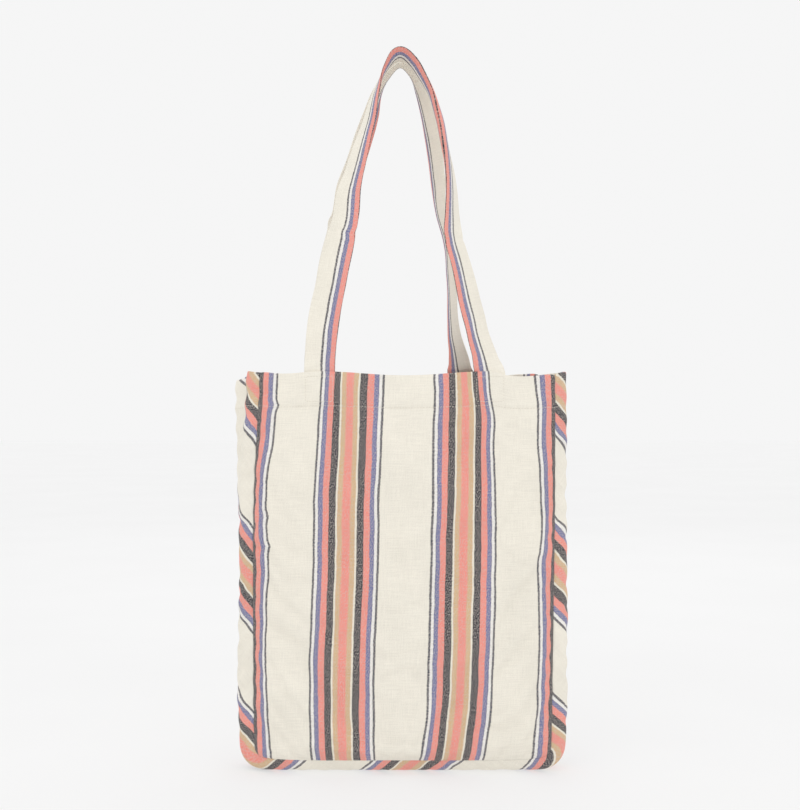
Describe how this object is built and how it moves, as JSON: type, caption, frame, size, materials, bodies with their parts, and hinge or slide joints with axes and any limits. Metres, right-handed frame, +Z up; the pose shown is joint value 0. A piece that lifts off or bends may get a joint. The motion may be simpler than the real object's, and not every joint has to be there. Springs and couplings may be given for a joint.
{
  "type": "canvas tote bag",
  "caption": "Flat-bottomed striped canvas tote bag with a boxed gusset, an open mouth with a turned hem, and shoulder straps joined inside the hem.",
  "frame": {"origin": "middle of the base, on the surface that the bag stands on", "axes": "+X to the bag's right side seen from the front, +Y from the front panel to the back panel, +Z up through the mouth and the handles"},
  "size_m": [0.3358, 0.078, 0.7257],
  "materials": {
    "striped_canvas": "matt cotton twill, cream with woven coral, tan, blue and charcoal stripes along the warp",
    "bias_canvas": "the same cloth cut on the bias, so that its stripes run diagonally",
    "hem_canvas": "inner face and raw edges of the same cloth",
    "strap_canvas": "the same cloth folded into a flat strap, striped along one edge",
    "thread": "cream cotton sewing thread"
  },
  "bodies": {
    "bag": {"front_panel": "striped_canvas", "back_panel": "striped_canvas", "left_gusset": "bias_canvas", "right_gusset": "bias_canvas", "base_gusset": "bias_canvas", "front_hem": "hem_canvas", "back_hem": "hem_canvas", "left_hem": "hem_canvas", "right_hem": "hem_canvas", "front_seam_allowance": "hem_canvas", "back_seam_allowance": "hem_canvas", "front_seam_thread": "thread", "back_seam_thread": "thread", "front_left_handle_end": "strap_canvas", "front_right_handle_end": "strap_canvas", "back_left_handle_end": "strap_canvas", "back_right_handle_end": "strap_canvas", "front_hem_stitch": "thread", "back_hem_stitch": "thread", "left_hem_stitch": "thread", "right_hem_stitch": "thread", "front_left_box_stitch": "thread", "front_right_box_stitch": "thread", "back_left_box_stitch": "thread", "back_right_box_stitch": "thread"},
    "front_handle": {"front_handle": "strap_canvas"},
    "back_handle": {"back_handle": "strap_canvas"}
  },
  "joints": [
    {"name": "front_handle_swing", "type": "hinge", "parent": "bag", "child": "front_handle", "pos_m": [0, -0.0385, 0.4045], "axis": [1, 0, 0], "range_deg": [0, 170]},
    {"name": "back_handle_swing", "type": "hinge", "parent": "bag", "child": "back_handle", "pos_m": [0, 0.0385, 0.4045], "axis": [-1, 0, 0], "range_deg": [0, 170]}
  ]
}
